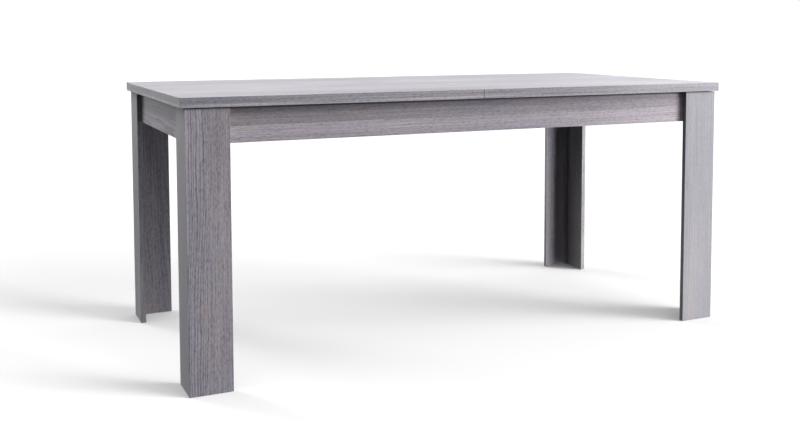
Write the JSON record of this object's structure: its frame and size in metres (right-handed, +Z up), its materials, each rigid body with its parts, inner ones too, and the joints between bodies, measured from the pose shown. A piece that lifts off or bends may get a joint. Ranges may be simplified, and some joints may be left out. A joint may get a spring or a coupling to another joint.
{
  "type": "extendable dining table",
  "caption": "Rectangular dining table on L-section legs whose top parts in the middle and slides open to take a leaf stored inside the frame.",
  "frame": {"origin": "on the floor, under the middle of the closed table top", "axes": "+X along the table's length to the right as seen from the front, +Y from the front to the back, +Z up"},
  "size_m": [1.8, 0.9, 0.806],
  "materials": {
    "wood_decor": "satin grey wood-decor melamine",
    "edge_band": "satin grey wood-decor edging",
    "beech": "plain sanded beech",
    "zinc_steel": "zinc-plated steel",
    "bearing_steel": "polished steel",
    "grey_plastic": "grey moulded plastic",
    "felt": "dark felt"
  },
  "bodies": {
    "frame": {"front_left_leg_face": "wood_decor", "front_left_leg_side": "wood_decor", "front_right_leg_face": "wood_decor", "front_right_leg_side": "wood_decor", "rear_left_leg_face": "wood_decor", "rear_left_leg_side": "wood_decor", "rear_right_leg_face": "wood_decor", "rear_right_leg_side": "wood_decor", "leg_glides": "grey_plastic", "leg_bolts": "zinc_steel", "leg_bolt_washers": "zinc_steel", "leg_insert_nuts": "zinc_steel", "front_apron": "wood_decor", "rear_apron": "wood_decor", "left_apron": "wood_decor", "right_apron": "wood_decor", "apron_pads": "felt", "front_left_corner_bracket": "zinc_steel", "front_right_corner_bracket": "zinc_steel", "rear_left_corner_bracket": "zinc_steel", "rear_right_corner_bracket": "zinc_steel", "corner_bracket_screws": "zinc_steel", "left_cross_rail": "wood_decor", "right_cross_rail": "wood_decor", "cross_rail_brackets": "zinc_steel", "cross_rail_bracket_screws": "zinc_steel", "leaf_rest_pads": "felt", "leaf_cleats": "beech", "leaf_cleat_screws": "zinc_steel", "front_slide_channel": "zinc_steel", "rear_slide_channel": "zinc_steel", "slide_channel_screws": "zinc_steel"},
    "left_top": {"left_top_panel": "wood_decor", "left_top_edge_band": "edge_band", "front_left_slide_rail": "zinc_steel", "rear_left_slide_rail": "zinc_steel", "left_rail_screws": "zinc_steel", "front_latch_plate": "zinc_steel", "rear_latch_plate": "zinc_steel", "latch_plate_screws": "zinc_steel", "latch_rivets": "bearing_steel"},
    "right_top": {"right_top_panel": "wood_decor", "right_top_edge_band": "edge_band", "alignment_pins": "beech", "front_right_slide_rail": "zinc_steel", "rear_right_slide_rail": "zinc_steel", "right_rail_screws": "zinc_steel", "front_latch_keeper": "zinc_steel", "rear_latch_keeper": "zinc_steel", "keeper_pins": "bearing_steel", "keeper_screws": "zinc_steel"},
    "left_ball_cages": {"front_left_ball_cage": "zinc_steel", "rear_left_ball_cage": "zinc_steel"},
    "right_ball_cages": {"front_right_ball_cage": "zinc_steel", "rear_right_ball_cage": "zinc_steel"},
    "front_latch": {"front_latch_lever": "zinc_steel"},
    "rear_latch": {"rear_latch_lever": "zinc_steel"},
    "leaf": {"leaf_panel": "wood_decor", "leaf_edge_band": "edge_band", "leaf_pins": "beech"}
  },
  "joints": [
    {"name": "left_top_slide", "type": "slide", "parent": "frame", "child": "left_top", "axis": [-1, 0, 0], "range_m": [0, 0.245]},
    {"name": "right_top_slide", "type": "slide", "parent": "frame", "child": "right_top", "axis": [1, 0, 0], "range_m": [0, 0.245]},
    {"name": "left_ball_cage_slide", "type": "slide", "parent": "frame", "child": "left_ball_cages", "axis": [-1, 0, 0], "range_m": [0, 0.1225]},
    {"name": "right_ball_cage_slide", "type": "slide", "parent": "frame", "child": "right_ball_cages", "axis": [1, 0, 0], "range_m": [0, 0.1225]},
    {"name": "front_latch_turn", "type": "hinge", "parent": "left_top", "child": "front_latch", "pos_m": [-0.033, -0.31, 0.7744], "axis": [0, 0, -1], "range_deg": [0, 90]},
    {"name": "rear_latch_turn", "type": "hinge", "parent": "left_top", "child": "rear_latch", "pos_m": [-0.033, 0.31, 0.7744], "axis": [0, 0, 1], "range_deg": [0, 90]},
    {"name": "leaf_lift", "type": "slide", "parent": "frame", "child": "leaf", "axis": [0, 0, 1], "range_m": [0, 0.04]}
  ],
  "couplings": [
    {"joint": "left_ball_cage_slide", "follows": "left_top_slide", "ratio": 0.5},
    {"joint": "right_ball_cage_slide", "follows": "right_top_slide", "ratio": 0.5}
  ]
}
